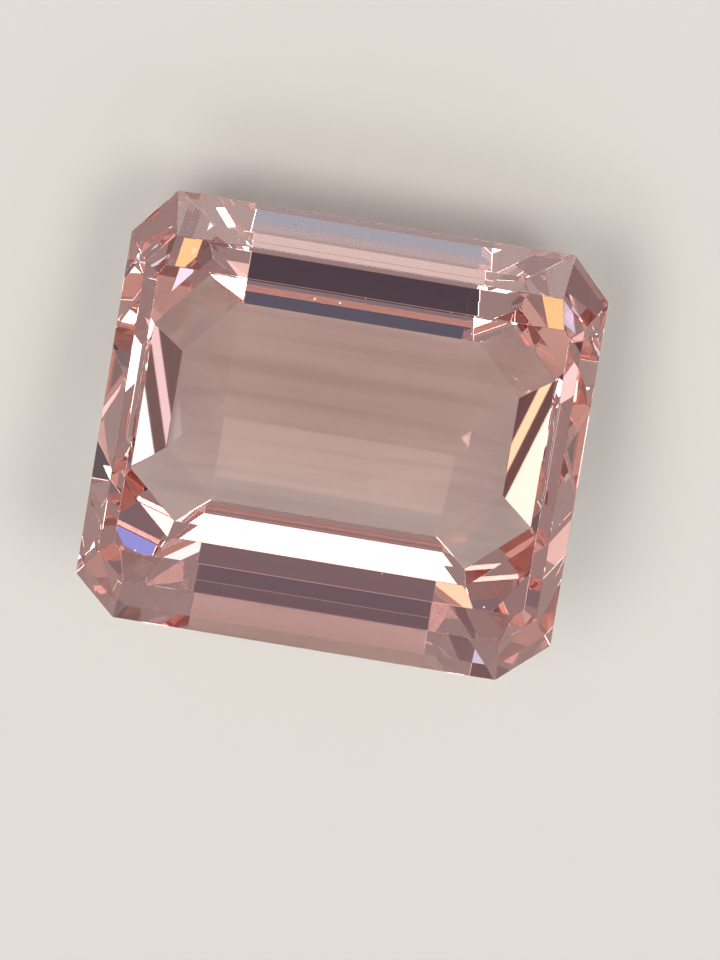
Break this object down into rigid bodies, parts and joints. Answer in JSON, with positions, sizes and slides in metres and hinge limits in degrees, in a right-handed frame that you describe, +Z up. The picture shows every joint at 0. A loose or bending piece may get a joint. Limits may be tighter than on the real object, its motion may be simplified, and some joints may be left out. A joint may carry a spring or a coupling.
{
  "type": "emerald-cut morganite gemstone",
  "caption": "Large rectangular step-cut pink beryl with cut corners, a wide flat table, a two-step crown and a keeled four-step pavilion.",
  "frame": {"origin": "on the ground, under the middle of the stone's box as it lies", "axes": "+X along the stone's length, +Y towards the side that the table leans to, +Z up"},
  "size_m": [0.0248, 0.0212, 0.0148],
  "materials": {
    "morganite": "polished clear beryl, peach-pink body colour"
  },
  "bodies": {
    "root": {"morganite": "morganite"}
  },
  "joints": []
}
